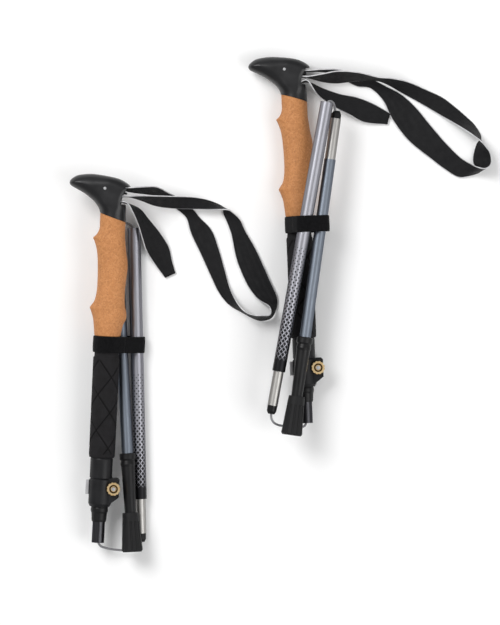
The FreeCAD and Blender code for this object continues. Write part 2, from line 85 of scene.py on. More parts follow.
# Wrist straps: pairs of points on the webbing's two edges, round the loop and down the tail
STRAPS = {
    "left_strap_loop": [
        ((-134.0, 129.4, 45.6), (-134.0, 128.2, 23.8)), ((-123.9, 129.8, 45.0), (-123.9, 125.6, 24.4)),
        ((-109.2, 131.0, 37), (-109.2, 123.8, 17)), ((-97.1, 131.1, 29), (-98.2, 122.4, 9)),
        ((-84.5, 125.1, 18), (-89.8, 118.9, 3)), ((-68.8, 116.2, 5), (-81.4, 111.9, 1.5)),
        ((-57.8, 106.6, 2.5), (-71.4, 104.0, 1.2)), ((-52.5, 99.8, 1.2), (-66.2, 97.7, 1.2)),
        ((-39.9, 86.6, 1.2), (-62.0, 82.4, 1.2)), ((-33.1, 68.8, 1.2), (-51.5, 60.4, 1.2)),
        ((-26.8, 46.7, 1.2), (-41.0, 37.3, 1.2)), ((-21.0, 25.7, 3), (-32.6, 20.5, 1.2)),
        ((-13.7, 11.0, 10), (-22.1, 8.4, 1.2)), ((-5.8, 1.6, 20), (-9.5, 1.1, 1.2)),
        ((3.2, -2.4, 22), (3.2, -5.8, 1)), ((12.6, -3.0, 22), (12.6, -8.4, 1)),
        ((21.0, -2.0, 20), (22.8, -5.0, 2)), ((19.9, 6.3, 12), (28.2, 6.8, 1.5)),
        ((7.9, 14.2, 3), (28.4, 17.3, 1.5)), ((-3.2, 28.9, 1.2), (22.1, 32.0, 1.2)),
        ((-12.6, 49.9, 1.2), (13.7, 50.9, 1.2)), ((-16.8, 65.6, 1.2), (5.2, 68.8, 1.2)),
        ((-19.9, 82.4, 1.5), (-4.7, 85.6, 2)), ((-24.4, 95.0, 1.5), (-10.0, 97.0, 3)),
        ((-28.0, 104.0, 1.5), (-16.5, 103.6, 7)), ((-28.5, 110.2, 2.5), (-22.5, 107.4, 13)),
        ((-36.2, 114.8, 5), (-33.6, 107.6, 13)), ((-47.0, 118.6, 9), (-46.1, 107.8, 12)),
        ((-62.0, 121.1, 15), (-63.0, 108.4, 10)), ((-83.0, 121.5, 24), (-84.0, 109.3, 12)),
        ((-99.8, 121.7, 32), (-99.8, 111.8, 15)), ((-113.4, 121.6, 40), (-113.4, 117.0, 19)),
        ((-125.0, 120.9, 45.2), (-125.0, 120.6, 23.4)), ((-134.4, 120.9, 45.4), (-134.4, 120.8, 23.6)),
    ],
    "left_strap_tail": [
        ((-136.0, 115.4, 44.6), (-136.0, 115.2, 23.6)), ((-127.6, 113.9, 44.2), (-127.6, 113.5, 23.4)),
        ((-121.8, 103.4, 35), (-115.0, 108.2, 22)), ((-116.6, 90.8, 25), (-106.1, 98.2, 18)),
        ((-112.4, 76.1, 19), (-94.5, 84.0, 9)), ((-108.7, 64.6, 12), (-85.0, 68.8, 2)),
        ((-100.8, 52.0, 3), (-81.4, 54.1, 1.5)), ((-89.2, 36.2, 1.2), (-77.9, 41.5, 1.2)),
    ],
    "right_strap_loop": [
        ((52.0, 252.8, 25.4), (52.0, 252.8, 3.6)), ((62.0, 252.8, 25.4), (62.0, 252.8, 3.6)),
        ((74.4, 253.8, 25), (74.4, 252.6, 4)), ((87.9, 254.2, 20), (89.2, 250.1, 3)),
        ((101.5, 252.6, 10), (100.3, 243.3, 2)), ((118.8, 249.5, 3), (112.6, 237.1, 1.5)),
        ((143.5, 237.1, 1.2), (126.2, 235.3, 1.2)), ((159.6, 228.5, 1.2), (139.8, 221.7, 1.2)),
        ((174.9, 214.9, 1.2), (148.5, 203.2, 1.2)), ((189.2, 197.6, 1.2), (165.8, 180.3, 1.2)),
        ((204.4, 179.5, 1.2), (188.7, 161.8, 1.2)), ((220.1, 163.6, 1.2), (205.3, 149.4, 1.2)),
        ((231.0, 156.2, 6), (218.6, 142.0, 1.2)), ((238.5, 152.0, 18), (230.0, 143.5, 1.2)),
        ((245.5, 150.4, 22), (241.5, 147.9, 1.5)), ((251.5, 154.0, 17), (236.5, 152.5, 2.5)),
        ((253.1, 160.0, 12), (233.8, 159.5, 2)), ((251.2, 167.5, 15), (235.2, 169.0, 2)),
        ((247.2, 172.5, 20), (238.0, 177.0, 2)), ((241.5, 178.5, 21.5), (242.2, 183.2, 1.5)),
        ((235.0, 183.5, 20), (240.0, 190.0, 1.2)), ((228.0, 188.5, 18), (234.5, 198.0, 1.2)),
        ((217.5, 195.5, 12), (229.5, 203.0, 1.2)), ((202.4, 205.0, 4), (218.0, 213.5, 1.2)),
        ((188.0, 213.7, 2), (202.8, 225.4, 1.2)), ((174.4, 221.8, 1.5), (184.3, 234.0, 4)),
        ((158.3, 231.0, 2.5), (165.0, 241.5, 16)), ((145.0, 238.6, 5), (148.0, 244.6, 23)),
        ((132.5, 243.2, 5), (133.5, 245.8, 25)), ((113.0, 242.9, 6.5), (113.0, 250.7, 25)),
        ((92.0, 240.3, 6), (92.0, 252.2, 24)), ((76.8, 241.8, 4.5), (76.8, 249.5, 24)),
        ((60.8, 246.3, 4), (60.8, 246.5, 25.4)), ((52.0, 246.8, 3.6), (52.0, 246.9, 25.4)),
    ],
    "right_strap_tail": [
        ((52.0, 240.2, 25.2), (52.0, 239.9, 4)), ((60.2, 242.1, 24.8), (60.2, 241.6, 5)),
        ((70.7, 227.2, 19), (74.4, 235.3, 16)), ((87.9, 214.9, 15), (92.9, 229.1, 13)),
        ((104.0, 206.9, 10), (112.6, 225.4, 9)), ((120.1, 199.2, 4), (129.9, 218.9, 5)),
        ((144.0, 197.2, 1.5), (147.2, 209.0, 2)),
    ],
}
STRAP_HALF_WIDTH = 11.0
# The webbing's cross-section: (share of the half width, half thickness), thicker along its woven edges
STRAP_PROFILE = [(-1.0, 0.25), (-0.975, 0.55), (-0.92, 0.72), (-0.86, 0.55), (-0.5, 0.58), (0.0, 0.6),
                 (0.5, 0.58), (0.86, 0.55), (0.92, 0.72), (0.975, 0.55), (1.0, 0.25)]

# How far the cable dips between the handle and the middle section
CABLE_DIP = {"left": -6.0, "right": -5.0}


# ---- geometry helpers ----
def at(point):
    """A point of the pair's frame, in metres from the part's origin."""
    return (Vector(point) + SHIFT) * MM


def lay(top, bottom):
    """A section's frame: local -Y runs from top to bottom and local +Z upwards."""
    top, bottom = at(top), at(bottom)
    along = (top - bottom).normalized()
    side = along.cross(Vector((0, 0, 1))).normalized()
    place = Matrix((side, along, side.cross(along))).transposed().to_4x4()
    place.translation = top
    return place


PLACES = {side: {name: lay(*ends) for name, ends in lies.items()} for side, lies in LIES.items()}


def mesh_object(name, points, faces, material=None, slot=None, place=None):
    """A smooth-shaded mesh from points in millimetres. The slot argument is not used; a cutter or the floor
    passes none.
    """
    mesh = bpy.data.meshes.new(name)
    mesh.from_pydata([Vector(p) * MM for p in points], [], faces)
    mesh.update()
    mesh.polygons.foreach_set("use_smooth", [True] * len(mesh.polygons))
    if material is not None:
        mesh.materials.append(material)
    piece = bpy.data.objects.new(name, mesh)
    bpy.context.scene.collection.objects.link(piece)
    if place is not None:
        piece.matrix_world = place
    return piece


def lofted(rings, closed):
    """(points, faces) of a surface through equal rings; closed joins the last ring to the first."""
    size = len(rings[0])
    points = [p for ring in rings for p in ring]
    faces = []
    for r in range(len(rings) - (0 if closed else 1)):
        here, after = r * size, (r + 1) % len(rings) * size
        for k in range(size):
            m = (k + 1) % size
            faces.append((here + k, here + m, after + m, after + k))
    if not closed:
        faces.append(tuple(range(size))[::-1])
        faces.append(tuple(range(len(points) - size, len(points))))
    return points, faces


def spline(points, steps):
    """Points along a smooth curve through the given ones, steps to each run."""
    made = []
    for n in range(len(points) - 1):
        p0, p1 = Vector(points[max(n - 1, 0)]), Vector(points[n])
        p2, p3 = Vector(points[n + 1]), Vector(points[min(n + 2, len(points) - 1)])
        for k in range(steps):
            t = k / steps
            made.append(0.5 * (2 * p1 + (p2 - p0) * t + (2 * p0 - 5 * p1 + 4 * p2 - p3) * t * t
                               + (3 * p1 - p0 - 3 * p2 + p3) * t ** 3))
    made.append(Vector(points[-1]))
    return made


def hull(points):
    """The convex hull of flat points, anticlockwise."""
    points = sorted(points)

    def half(run):
        kept = []
        for p in run:
            while len(kept) > 1 and ((kept[-1][0] - kept[-2][0]) * (p[1] - kept[-2][1])
                                     - (kept[-1][1] - kept[-2][1]) * (p[0] - kept[-2][0])) <= 1e-6:
                kept.pop()
            kept.append(p)
        return kept[:-1]

    return half(points) + half(points[::-1])


# ---- material helpers ----
PAINTED_EDGE_SHADE = (0.35, 0.35, 0.38, 1)            # painted shade: a dark specular tint that darkens the metals' reflections towards their grazing edges


def rgb(code):
    """A linear colour from a hex sRGB code."""
    parts = [int(code[n:n + 2], 16) / 255 for n in (0, 2, 4)]
    return [c / 12.92 if c <= 0.04045 else ((c + 0.055) / 1.055) ** 2.4 for c in parts] + [1.0]


class Finish:
    """A procedural material, built node by node. place turns its coordinates into a section's own frame."""

    def __init__(self, name, place=None):
        self.material = bpy.data.materials.new(name)
        self.material.use_nodes = True
        self.tree = self.material.node_tree
        self.shader = self.tree.nodes["Principled BSDF"]
        self.where = self.add("ShaderNodeTexCoord").outputs["Object"]
        if place is not None:
            mapping = self.add("ShaderNodeMapping", vector_type="TEXTURE")
            self.feed(mapping.inputs["Vector"], self.where)
            mapping.inputs["Location"].default_value = place.translation
            mapping.inputs["Rotation"].default_value = place.to_euler()
            self.where = mapping.outputs["Vector"]

    def add(self, kind, **settings):
        node = self.tree.nodes.new(kind)
        for key, value in settings.items():
            setattr(node, key, value)
        return node

    def feed(self, socket, value):
        if isinstance(value, bpy.types.NodeSocket):
            self.tree.links.new(value, socket)
        else:
            socket.default_value = value

    def sum(self, operation, a, b=0.0):
        node = self.add("ShaderNodeMath", operation=operation)
        self.feed(node.inputs[0], a)
        self.feed(node.inputs[1], b)
        return node.outputs[0]

    def grain(self, size_mm, detail=3.0, stretch=(1, 1, 1)):
        """Noise whose features are about size_mm across, longer along an axis with a small stretch."""
        scaled = self.add("ShaderNodeVectorMath", operation="MULTIPLY")
        self.feed(scaled.inputs[0], self.where)
        scaled.inputs[1].default_value = [s / (size_mm * MM) for s in stretch]
        node = self.add("ShaderNodeTexNoise")
        self.feed(node.inputs["Vector"], scaled.outputs[0])
        node.inputs["Scale"].default_value = 1.0
        node.inputs["Detail"].default_value = detail
        return node.outputs["Fac"]

    def cells(self, size_mm):
        """(distance, colour) of cells about size_mm across."""
        node = self.add("ShaderNodeTexVoronoi")
        self.feed(node.inputs["Vector"], self.where)
        node.inputs["Scale"].default_value = 1 / (size_mm * MM)
        return node.outputs["Distance"], node.outputs["Color"]

    def ramp(self, fac, stops):
        node = self.add("ShaderNodeValToRGB")
        self.feed(node.inputs["Fac"], fac)
        elements = node.color_ramp.elements
        while len(elements) < len(stops):
            elements.new(0.5)
        for element, (position, colour) in zip(elements, stops):
            element.position = position
            element.color = colour
        return node.outputs["Color"]

    def spread(self, fac, low, high, start=0.3, end=0.7):
        """fac from start to end, spread from low to high."""
        node = self.add("ShaderNodeMapRange")
        self.feed(node.inputs["Value"], fac)
        for socket, value in (("From Min", start), ("From Max", end), ("To Min", low), ("To Max", high)):
            node.inputs[socket].default_value = value
        return node.outputs["Result"]

    def mix(self, fac, a, b, blend="MIX"):
        node = self.add("ShaderNodeMix", data_type="RGBA", blend_type=blend)
        for socket, value in ((0, fac), (6, a), (7, b)):
            self.feed(node.inputs[socket], value)
        return node.outputs[2]

    def bump(self, height, depth_mm, strength=1.0):
        node = self.add("ShaderNodeBump")
        self.feed(node.inputs["Height"], height)
        node.inputs["Distance"].default_value = depth_mm * MM
        node.inputs["Strength"].default_value = strength
        if self.shader.inputs["Normal"].is_linked:
            self.feed(node.inputs["Normal"], self.shader.inputs["Normal"].links[0].from_socket)
        self.feed(self.shader.inputs["Normal"], node.outputs["Normal"])

    def set(self, **values):
        for key, value in values.items():
            self.feed(self.shader.inputs[key.replace("_", " ").title().replace("Ior", "IOR")], value)
        return self.material


def moulded(name, dark, light, rough, grain_mm=0.35, depth_mm=0.03, shine=0.22):
    """Moulded plastic or rubber: a fine pebbled texture over slow changes of tone and gloss."""
    f = Finish(name)
    slow = f.grain(14.0, 4.0)
    f.set(base_color=f.ramp(slow, [(0.3, rgb(dark)), (0.7, rgb(light))]),
          roughness=f.spread(slow, rough - 0.06, rough + 0.08), specular_ior_level=shine)
    f.bump(f.grain(grain_mm, 2.0), depth_mm)
    return f.material


def brushed(name, dark, light, rough, place):
    """Drawn or turned metal, with fine streaks along the section."""
    f = Finish(name, place)
    streaks = f.grain(1.2, 3.0, (1, 0.01, 1))
    scuffs = f.grain(6.0, 5.0)
    wear = f.sum("MULTIPLY", f.sum("ADD", streaks, scuffs), 0.5)
    # painted shade on the metal's grazing edges, through the dark specular tint
    f.set(base_color=f.ramp(streaks, [(0.3, rgb(dark)), (0.7, rgb(light))]), metallic=1.0,
          roughness=f.spread(wear, rough - 0.05, rough + 0.1), specular_tint=PAINTED_EDGE_SHADE)
    f.bump(streaks, 0.003, 0.3)
    return f.material


def nut_finish(name, place):
    """Turned brass with a dark step round the bolt."""
    f = Finish(name, place)
    centre_x, centre_y, step_r, step_width = 14.2, -282.5, 3.7, 0.55
    split = f.add("ShaderNodeSeparateXYZ")
    f.feed(split.inputs[0], f.where)
    x, y = (f.sum("SUBTRACT", split.outputs[k], c * MM) for k, c in ((0, centre_x), (1, centre_y)))
    r = f.sum("SQRT", f.sum("ADD", f.sum("MULTIPLY", x, x), f.sum("MULTIPLY", y, y)))
    off = f.sum("ABSOLUTE", f.sum("SUBTRACT", r, step_r * MM))
    step = f.spread(off, 1.0, 0.0, step_width * MM, 2 * step_width * MM)
    turned = f.ramp(f.grain(2.0, 3.0), [(0.3, rgb("e2bb80")), (0.7, rgb("f4dcae"))])
    f.set(base_color=f.mix(step, turned, rgb("3c2812")), metallic=1.0, roughness=0.3)
    return f.material


def cork_finish():
    """Pressed cork: packed granules of several browns, with dark flecks and shallow pits."""
    f = Finish("cork")
    distance, colour = f.cells(1.7)
    tone = f.add("ShaderNodeSeparateColor")
    f.feed(tone.inputs[0], colour)
    base = f.ramp(tone.outputs[0], [(0.0, rgb("a56c3b")), (0.45, rgb("b87a46")), (1.0, rgb("c78b56"))])
    clouds = f.ramp(f.grain(22.0, 4.0), [(0.3, rgb("a97041")), (0.7, rgb("c28451"))])
    base = f.mix(0.45, base, clouds)
    flecks = f.spread(f.grain(0.9, 3.0), 0.0, 0.75, 0.6, 0.72)
    base = f.mix(flecks, base, rgb("744526"))
    f.set(base_color=base, roughness=f.spread(f.grain(1.2), 0.62, 0.85))
    f.bump(f.sum("SUBTRACT", distance, f.sum("MULTIPLY", flecks, 0.8)), 0.12, 0.8)
    return f.material


def foam_finish():
    """Closed-cell foam: near black, with a fine open skin and painted shade darkening its moulded grooves.
    """
    f = Finish("foam")
    distance, _ = f.cells(0.55)
    painted_groove_shade = f.add("ShaderNodeAttribute", attribute_name="painted_groove_shade").outputs["Fac"]
    skin = f.ramp(f.grain(9.0, 4.0), [(0.3, rgb("161516")), (0.7, rgb("1f1e20"))])
    # painted shade: the skin darkens to near black in the grooves
    f.set(base_color=f.mix(painted_groove_shade, skin, rgb("050505")), specular_ior_level=0.2,
          roughness=f.spread(distance, 0.72, 0.92, 0.1, 0.8))
    f.bump(distance, 0.08, 0.7)
    return f.material


def felt_finish():
    """The looped face of a hook-and-loop tie."""
    f = Finish("loop_fabric")
    fuzz = f.grain(0.45, 5.0)
    f.set(base_color=f.ramp(f.grain(2.2, 5.0), [(0.3, rgb("060607")), (0.7, rgb("101012"))]),
          roughness=f.spread(fuzz, 0.8, 0.97), specular_ior_level=0.1, sheen_weight=0.04,
          sheen_roughness=0.5)
    f.bump(fuzz, 0.25, 0.9)
    return f.material


def webbing_finish():
    """Woven nylon webbing: ribs across it, a herringbone twill with painted shade in its low places, and a
    pale edge on each side.
    """
    f = Finish("webbing")
    fold_mm, twill_mm, yarn_mm = 2.75, 1.1, 0.9
    weave = f.add("ShaderNodeAttribute", attribute_name="weave").outputs["Vector"]
    split = f.add("ShaderNodeSeparateXYZ")
    f.feed(split.inputs[0], weave)
    across, along = split.outputs[0], split.outputs[1]
    folded = f.sum("PINGPONG", f.sum("ADD", across, STRAP_HALF_WIDTH), fold_mm)
    twill = f.sum("SINE", f.sum("MULTIPLY", f.sum("ADD", along, folded), 2 * math.pi / twill_mm))
    yarns = f.sum("SINE", f.sum("MULTIPLY", across, 2 * math.pi / yarn_mm))
    height = f.sum("ADD", f.sum("MULTIPLY", twill, 0.6), f.sum("MULTIPLY", yarns, 0.4))
    edge_from, edge_to = STRAP_HALF_WIDTH * 0.93, STRAP_HALF_WIDTH * 0.96
    edge = f.spread(f.sum("ABSOLUTE", across), 0.0, 1.0, edge_from, edge_to)
    dye = f.grain(5.0, 4.0)
    # painted shade: the black is darker in the weave's low places and lighter on its raised yarns
    weave_shaded_black = f.ramp(f.spread(height, 0.0, 1.0, -1.0, 1.0), [(0.0, rgb("08080a")), (1.0, rgb("1a1a1c"))])
    pale = f.ramp(dye, [(0.3, rgb("b4b4b6")), (0.7, rgb("dadadc"))])
    f.set(base_color=f.mix(edge, weave_shaded_black, pale), roughness=f.spread(dye, 0.55, 0.75),
          specular_ior_level=0.2, sheen_weight=0.03)
    f.bump(height, 0.12, 0.8)
    return f.material


def pattern_finish(name, place):
    """The middle tube: bare silver at the top, a lattice of dark diamonds that grow until they meet."""
    f = Finish(name, place)
    around_count, pitch_mm = 9, 5.6
    starts, closes, ends = -152.0, -268.0, -276.0
    split = f.add("ShaderNodeSeparateXYZ")
    f.feed(split.inputs[0], f.where)
    x, y, z = split.outputs
    turn = f.sum("MULTIPLY", f.sum("ARCTAN2", z, x), around_count / (2 * math.pi))
    rise = f.sum("DIVIDE", y, pitch_mm * MM)
    sides = []
    for operation in ("ADD", "SUBTRACT"):
        lane = f.sum("FRACT", f.sum(operation, turn, rise))
        sides.append(f.sum("MULTIPLY", f.sum("ABSOLUTE", f.sum("SUBTRACT", lane, 0.5)), 2.0))
    reach = f.sum("MAXIMUM", sides[0], sides[1])
    size = f.spread(y, 0.28, 0.84, starts * MM, closes * MM)
    solid = f.spread(y, 0.0, 0.3, closes * MM, ends * MM)
    dark = f.sum("LESS_THAN", reach, f.sum("ADD", size, solid))
    dark = f.sum("MULTIPLY", dark, f.sum("LESS_THAN", y, starts * MM))
    streaks = f.grain(1.2, 3.0, (1, 0.01, 1))
    silver = f.ramp(streaks, [(0.3, rgb("86868c")), (0.7, rgb("9a9aa1"))])
    # painted shade on the silver's grazing edges, through the dark specular tint
    f.set(base_color=f.mix(dark, silver, rgb("0a0a0b")), metallic=f.spread(dark, 1.0, 0.0, 0.0, 1.0),
          roughness=f.spread(dark, 0.42, 0.4, 0.0, 1.0), specular_tint=PAINTED_EDGE_SHADE)
    f.bump(streaks, 0.003, 0.3)
    return f.material


# ---- soft and detailed pieces ----
def make_strap(name, pairs, material):
    """Woven webbing through pairs of edge points. Its weave attribute is (across, along), in millimetres."""
    side = name.split("_")[0]
    one, two = (spline([at(pair[k]) / MM for pair in pairs], 6) for k in (0, 1))
    middles = [(a + b) / 2 for a, b in zip(one, two)]
    rings, weave, run = [], [], 0.0
    for n, (a, b) in enumerate(zip(one, two)):
        before, after = middles[max(n - 1, 0)], middles[min(n + 1, len(middles) - 1)]
        normal = (after - before).cross(b - a).normalized()
        run += (middles[n] - middles[max(n - 1, 0)]).length
        ring = []
        for sign, profile in ((1, STRAP_PROFILE), (-1, STRAP_PROFILE[::-1])):
            for share, half in profile:
                ring.append(middles[n] + (b - a) * (share / 2) + normal * (half * sign))
                weave.append((share * STRAP_HALF_WIDTH, run, 0.0))
        rings.append(ring)
    piece = mesh_object(name, *lofted(rings, False), material, "webbing")
    layer = piece.data.attributes.new("weave", "FLOAT_VECTOR", "POINT")
    layer.data.foreach_set("vector", [c for w in weave for c in w])
    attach(piece, f"{side}_grip")


def head_sides():
    """The head's outline from the neck round the nose and crown to the neck's back, as flat points."""
    front = [(-13.4, -9), (-13.4, -2), (-13.8, 4.6), (-15.4, 9.2), (-20.0, 15.2), (-29.8, 22.8),
             (-38.0, 27.2)]
    crown = [(-44.0, 30.2), (-46.5, 32.6), (-46.6, 35.0), (-44.5, 38.2), (-37.7, 42.2), (-24.3, 44.0),
             (-10.9, 42.9), (3.1, 40.6), (11.5, 37.0), (16.4, 33.2), (17.6, 30.4)]
    rear = [(17.2, 27.0), (13.8, 22.5), (12.0, 16.0), (13.2, 9.8), (13.5, 2.0), (13.6, -9)]
    return [(v.x, v.y) for v in spline([(*p, 0) for p in front + crown + rear], 5)]


def voxelled(piece, voxel_mm):
    """The piece's mesh remeshed into even quads."""
    remesh = piece.modifiers.new("remesh", "REMESH")
    remesh.mode = "VOXEL"
    remesh.voxel_size = voxel_mm * MM
    graph = bpy.context.evaluated_depsgraph_get()
    mesh = bpy.data.meshes.new_from_object(piece.evaluated_get(graph))
    piece.modifiers.clear()
    piece.data = mesh


def carved(piece, cutters):
    """The piece with the cutters taken out of it, and the cutters removed."""
    for cutter in cutters:
        cut = piece.modifiers.new("cut", "BOOLEAN")
        cut.operation = "DIFFERENCE"
        cut.solver = "EXACT"
        cut.object = cutter
    graph = bpy.context.evaluated_depsgraph_get()
    mesh = bpy.data.meshes.new_from_object(piece.evaluated_get(graph))
    piece.modifiers.clear()
    piece.data = mesh
    for cutter in cutters:
        bpy.data.objects.remove(cutter)


def box_cutter(x, y, z):
    """A box between the low and high of each of x, y and z."""
    corners = [(x[i], y[j], z[k]) for i in (0, 1) for j in (0, 1) for k in (0, 1)]
    faces = [(0, 1, 3, 2), (4, 6, 7, 5), (0, 4, 5, 1), (2, 3, 7, 6), (0, 2, 6, 4), (1, 5, 7, 3)]
    return mesh_object("cutter", corners, faces)


def make_head(side, material):
    """The moulded head: its slab is domed towards its outline, then cut at the seam, slot and tube."""
    half, outline = 13.5, head_sides()
    neck_dome, crown_dome, beak_dome = 13.4, 9.0, 3.0    # how far in from the outline the doming reaches
    count = len(outline)
    points = [(x, y, z) for z in (-half, half) for x, y in outline]
    faces = [tuple(range(count)), tuple(range(count, 2 * count))[::-1]]
    faces += [(k + count, (k + 1) % count + count, (k + 1) % count, k) for k in range(count)]
    piece = mesh_object(f"{side}_head_shell", points, faces, material, "grip_plastic")
    voxelled(piece, 0.9)
    spots = np.array([v.co for v in piece.data.vertices], float) / MM
    one = np.array(outline[:-1])
    run = np.array(outline[1:]) - one
    off = spots[:, None, :2] - one
    share = np.clip((off * run).sum(2) / (run * run).sum(1), 0, 1)
    inset = np.sqrt(((off - share[..., None] * run) ** 2).sum(2)).min(1)
    neck_top, crown_run, beak_from, beak_run = 3, 12, 6, 14
    crown = np.clip((spots[:, 1] - neck_top) / crown_run, 0, 1)
    beak = np.clip((-spots[:, 0] - beak_from) / beak_run, 0, 1)
    dome = neck_dome + (crown_dome - neck_dome) * crown * crown * (3 - 2 * crown) + beak_dome * beak * crown
    near = np.clip(dome - inset, 0, None)
    limit = half - dome + np.sqrt(np.clip(dome * dome - near * near, 0, None))
    spots[:, 2] = np.sign(spots[:, 2]) * np.minimum(np.abs(spots[:, 2]), limit)
    piece.data.vertices.foreach_set("co", (spots * MM).ravel())
    voxelled(piece, 0.7)
    smooth = piece.modifiers.new("smooth", "SMOOTH")
    smooth.iterations = 6
    reach = 60.0
    seam = box_cutter((-reach, reach), (-reach, 0), (-reach, reach))
    for corner in seam.data.vertices:
        corner.co.y += SEAM_SLOPE * corner.co.x
    slot = box_cutter((3.0, 40.0), (13.6, 31.7), (-12.2, 12.2))
    bore_r = UPPER_R + 0.03
    bore_rings = [oval_ring(y, bore_r, bore_r, bore_r)[::-1] for y in (10.1, -30.0)]
    bore = mesh_object("bore", *lofted(bore_rings, False))
    carved(piece, [seam, slot, bore])
    piece.data.materials.clear()
    piece.data.materials.append(material)
    piece.data.polygons.foreach_set("use_smooth", [True] * len(piece.data.polygons))
    piece.data.set_sharp_from_angle(angle=math.radians(38))
    piece.matrix_world = PLACES[side]["handle"]
    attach(piece, f"{side}_grip")
    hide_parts(f"{side}_head")


def oval_ring(y, front, back, depth, slope=0.0, count=64):
    """A ring round the handle at y, with its own reach to the front, back and sides, sloping in x."""
    ring = []
    for n in range(count):
        angle = 2 * math.pi * n / count
        x = (back if math.cos(angle) > 0 else front) * math.cos(angle)
        ring.append((x, y + slope * x, depth * math.sin(angle)))
    return ring


def make_cork(side, material):
    """The shaped cork with its finger ridges, rounded at both ends and bored for the tube."""
    stations = [
        (0, 13.4, 13.4, 13.2), (-7, 13.4, 13.4, 13.2), (-13, 13.5, 13.4, 13.2), (-19, 16.5, 13.5, 13.6),
        (-22, 19.6, 13.7, 13.8), (-25.5, 18.2, 14.2, 14.0), (-35, 15.2, 15.4, 14.1),
        (-50, 13.6, 17.7, 14.2), (-73, 13.1, 16.2, 14.0), (-86, 14.8, 16.2, 14.1),
        (-92, 18.0, 16.8, 14.2), (-95, 19.8, 17.4, 14.2), (-98, 18.6, 18.4, 14.2),
        (-105, 16.2, 18.6, 14.2), (-112, 15.0, 15.6, 14.0), (CORK_END, 13.7, 13.5, 13.5),
    ]
    flat_from, rim = -16.0, 0.6                  # where the rings lie square again, and the edges' rounding
    rings = []
    track = [tuple(v) for v in spline(stations, 6)]
    rings.append(oval_ring(0, *[r - rim for r in track[0][1:]], SEAM_SLOPE))
    for y, front, back, depth in track:
        slope = SEAM_SLOPE * max(0.0, 1 - y / flat_from)
        rings.append(oval_ring(max(min(y, -rim), CORK_END + rim), front, back, depth, slope))
    rings.append(oval_ring(CORK_END, *[r - rim for r in track[-1][1:]]))
    bore = UPPER_R + 0.02
    rings.append(oval_ring(CORK_END, bore, bore, bore))
    rings.append(oval_ring(0, bore, bore, bore, SEAM_SLOPE))
    piece = mesh_object(f"{side}_cork", *lofted(rings[::-1], True), material, "cork",
                        PLACES[side]["handle"])
    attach(piece, f"{side}_grip")
    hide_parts(f"{side}_cork_grip")


def make_foam(side, material):
    """The foam grip, with two families of moulded grooves that cross into diamonds."""
    count, step, groove_depth, groove_width = 200, 0.7, 1.1, 1.9
    lines_round, diamond_height = 3, 37.0
    outline = [(CORK_END - 0.1, 12.5), (BAND_END, 12.6), (LIP_END + 1, 12.7), (LIP_END - 0.4, 12.9),
               (LIP_END - 1, 13.5), (LIP_END - 2.4, 13.8), (FOAM_END + 3, 13.6), (FOAM_END + 1.2, 13.3),
               (FOAM_END + 0.3, 12.7), (FOAM_END, 11.8)]
    stations = []
    for (y0, r0), (y1, r1) in zip(outline, outline[1:]):
        parts = max(1, round((y0 - y1) / step))
        stations += [(y0 + (y1 - y0) * k / parts, r0 + (r1 - r0) * k / parts) for k in range(parts)]
    stations.append(outline[-1])
    rings, groove_shade_mask = [], []
    for y, r in stations:
        fade = min(1.0, max(0.0, (LIP_END - 3 - y) / 2), max(0.0, (y - FOAM_END - 3) / 2))
        steep = math.hypot(lines_round / (2 * math.pi * r), 1 / diamond_height)
        ring = []
        for n in range(count):
            angle = 2 * math.pi * n / count
            cut = 0.0
            for sign in (1, -1):
                phase = lines_round * n / count + sign * y / diamond_height
                off = abs(phase - round(phase)) / steep / (groove_width / 2)
                cut = max(cut, (1 - off * off) ** 2 if off < 1 else 0.0)
            here = r - groove_depth * cut * fade
            ring.append((here * math.cos(angle), y, here * math.sin(angle)))
            groove_shade_mask.append(cut * fade)
        rings.append(ring)
    bore = UPPER_R + 0.02
    rings.insert(0, oval_ring(CORK_END - 0.1, bore, bore, bore, count=count))
    rings.insert(0, oval_ring(FOAM_END, bore, bore, bore, count=count))
    points, faces = lofted(rings, True)
    piece = mesh_object(f"{side}_foam", points, [f[::-1] for f in faces], material, "foam",
                        PLACES[side]["handle"])
    # the groove depth, for the painted shade in the foam's grooves
    layer = piece.data.attributes.new("painted_groove_shade", "FLOAT", "POINT")
    layer.data.foreach_set("value", [0.0] * (2 * count) + groove_shade_mask)
    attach(piece, f"{side}_grip")
    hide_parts(f"{side}_foam_grip")


def make_band(side, material):
    """The tie round the folded pole: the part on the handle, and the loop round the folded sections."""
    handle = PLACES[side]["handle"]
    grip_r, clear, turn_points, step = 13.7, 0.4, 72, 1.0
    circles = [(0, 0, grip_r)]
    for name, radius in (("middle", MIDDLE_R), ("lower", LOWER_R)):
        a, b = (handle.inverted() @ at(end) / MM for end in LIES[side][name])
        for y in (CORK_END, BAND_END):
            here = a + (b - a) * ((y - a.y) / (b.y - a.y))
            circles.append((here.x, here.z, radius + BAND_SLACK))
    angles = [2 * math.pi * n / turn_points for n in range(turn_points)]
    outline = hull([(x + r * math.cos(a), z + r * math.sin(a)) for x, z, r in circles for a in angles])
    outline = even(outline, step)
    away = sum((Vector(c[:2]) for c in circles[1:]), Vector((0, 0))).normalized()
    split_at = grip_r + clear
    beyond = [Vector(p).dot(away) > split_at for p in outline]
    start = next(n for n in range(len(outline)) if beyond[n] and not beyond[n - 1])
    outline, beyond = outline[start:] + outline[:start], beyond[start:] + beyond[:start]
    last = sum(beyond)
    far, near = outline[-1:] + outline[:last + 1], outline[last:]
    strap = make_band_run(f"{side}_band_handle", near, outline, handle, material)
    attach(strap, f"{side}_grip")
    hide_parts(f"{side}_band")
    loop = make_band_run(f"{side}_band_loop", far, outline, handle, material)
    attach(loop, f"{side}_grip")
    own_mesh(loop)


def even(outline, step):
    """A closed flat outline with its points evenly spaced."""
    corners = [Vector(p) for p in outline]
    made, left = [], 0.0
    for a, b in zip(corners, corners[1:] + corners[:1]):
        run = (b - a).length
        while left < run:
            made.append(tuple(a + (b - a) * (left / run)))
            left += step
        left -= run
    return made


